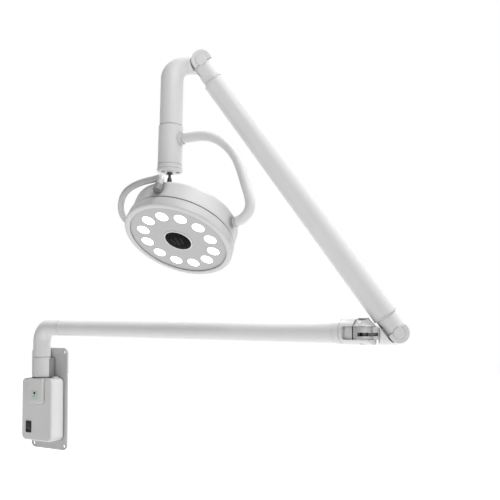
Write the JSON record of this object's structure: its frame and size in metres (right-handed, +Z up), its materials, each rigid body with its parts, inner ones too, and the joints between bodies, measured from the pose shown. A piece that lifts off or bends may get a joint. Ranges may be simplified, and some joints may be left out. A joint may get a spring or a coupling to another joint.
{
  "type": "wall-mounted surgical light",
  "caption": "Wall-mounted examination light: round LED head in a swivel yoke, hung from a balanced spring arm on a swivelling horizontal arm.",
  "frame": {"origin": "centre of the wall plate's back face", "axes": "+X right along the wall, +Y into the wall, +Z up; arms at the folded rest pose"},
  "size_m": [1.0884, 0.3973, 0.8612],
  "materials": {
    "powder_white": "smooth off-white powder coat, semi-gloss",
    "white_plastic": "fine-textured off-white moulding",
    "plate_grey": "light grey powder coat, semi-gloss",
    "face_grey": "matt light grey",
    "pale_green_plastic": "pale green blank panel",
    "black_gloss": "gloss black",
    "green_lens": "green indicator",
    "black_plastic": "satin black",
    "rubber": "matt",
    "steel": "turned steel",
    "spring_steel": "oiled spring wire",
    "dark_chrome": "dark chrome",
    "bronze": "sintered bronze",
    "aluminium": "satin",
    "clear_lens": "frosted clear optic",
    "circuit_board": "solder mask",
    "led_white": "emitter"
  },
  "bodies": {
    "wall_mount": {"wall_plate": "plate_grey", "column_bracket": "plate_grey", "column_tube": "powder_white", "column_seal": "rubber", "column_bushes": "bronze", "box_cover": "white_plastic", "tongue_cover": "white_plastic", "indicator_panel": "pale_green_plastic", "status_window": "black_gloss", "indicator_lens": "green_lens", "rocker_bezel": "black_plastic", "power_supply": "aluminium", "cable_gland": "white_plastic", "box_screws": "steel"},
    "switch_rocker": {"rocker": "black_plastic"},
    "horizontal_arm": {"lower_elbow": "powder_white", "swivel_spindle": "steel", "horizontal_tube": "powder_white", "arm_end_fork": "powder_white", "knuckle_pin": "steel"},
    "knuckle_link": {"knuckle_barrel": "steel", "link_body": "powder_white"},
    "parallel_link": {"parallel_rod": "steel"},
    "spring_arm": {"spring_arm_tube": "powder_white", "lower_end_fitting": "powder_white", "upper_end_fitting": "powder_white", "trim_rings": "powder_white", "hinge_pins": "steel", "hinge_caps": "white_plastic", "balance_spring": "spring_steel", "spring_seat": "steel"},
    "spring_puller": {"balance_rod": "steel"},
    "lamp_elbow": {"upper_elbow": "powder_white", "elbow_tongue": "powder_white", "stem_spindle": "steel"},
    "lamp_stem": {"swivel_sleeve": "powder_white", "sleeve_bushes": "bronze", "sleeve_collar": "powder_white", "bottom_cap": "powder_white", "cap_screws": "steel", "lock_nut": "dark_chrome", "yoke_tube": "powder_white", "yoke_collar": "powder_white", "pivot_shaft": "steel"},
    "stem_lock": {"lock_pin": "dark_chrome"},
    "lamp_head": {"rear_housing": "powder_white", "pivot_bush": "white_plastic", "housing_screws": "steel", "front_bezel": "powder_white", "bezel_gasket": "rubber", "face_plate": "face_grey", "lens_array": "clear_lens", "led_board": "circuit_board", "led_emitters": "led_white", "heat_sink": "aluminium", "driver_board": "circuit_board", "centre_window": "black_gloss", "window_ring": "aluminium", "handle_tube": "powder_white", "handle_feet": "powder_white"}
  },
  "joints": [
    {"name": "rocker_switch", "type": "hinge", "parent": "wall_mount", "child": "switch_rocker", "pos_m": [-0.0268, -0.0484, -0.072], "axis": [1, 0, 0], "range_deg": [-14, 0]},
    {"name": "column_swivel", "type": "hinge", "parent": "wall_mount", "child": "horizontal_arm", "pos_m": [0, -0.031, 0.112], "axis": [0, 0, 1], "range_deg": [-165, 3]},
    {"name": "knuckle_swivel", "type": "hinge", "parent": "horizontal_arm", "child": "knuckle_link", "pos_m": [0.94082, -0.12988, 0.192], "axis": [0, 0, 1], "range_deg": [-126, 42]},
    {"name": "arm_lift", "type": "hinge", "parent": "knuckle_link", "child": "spring_arm", "pos_m": [0.99763, -0.10266, 0.19], "axis": [-0.4321, 0.9018, 0], "range_deg": [-2, 12]},
    {"name": "rod_swing", "type": "hinge", "parent": "knuckle_link", "child": "parallel_link", "pos_m": [0.98748, -0.10753, 0.1835], "axis": [-0.4321, 0.9018, 0], "range_deg": [-2.1, 12.1]},
    {"name": "puller_slide", "type": "slide", "parent": "spring_arm", "child": "spring_puller", "axis": [-0.5224, -0.2503, 0.8151], "range_m": [-0.0005, 0.0026]},
    {"name": "elbow_tilt", "type": "hinge", "parent": "spring_arm", "child": "lamp_elbow", "pos_m": [0.66616, -0.26148, 0.7072], "axis": [-0.4321, 0.9018, 0], "range_deg": [-12.1, 2.1]},
    {"name": "lamp_yaw", "type": "hinge", "parent": "lamp_elbow", "child": "lamp_stem", "pos_m": [0.61387, -0.28653, 0.70862], "axis": [0.022, 0.0106, 0.9997], "range_deg": [-170, 170]},
    {"name": "lock_turn", "type": "hinge", "parent": "lamp_stem", "child": "stem_lock", "pos_m": [0.61387, -0.28653, 0.70862], "axis": [0.022, 0.0106, 0.9997], "range_deg": [0, 180]},
    {"name": "head_pitch", "type": "hinge", "parent": "lamp_stem", "child": "lamp_head", "pos_m": [0.64389, -0.28718, 0.39587], "axis": [0.9972, 0.0714, -0.0227], "range_deg": [-17, 82]}
  ],
  "couplings": [
    {"joint": "rod_swing", "follows": "arm_lift", "ratio": 1},
    {"joint": "elbow_tilt", "follows": "arm_lift", "ratio": -1},
    {"joint": "puller_slide", "follows": "arm_lift", "m_per_rad": 0.0105}
  ]
}
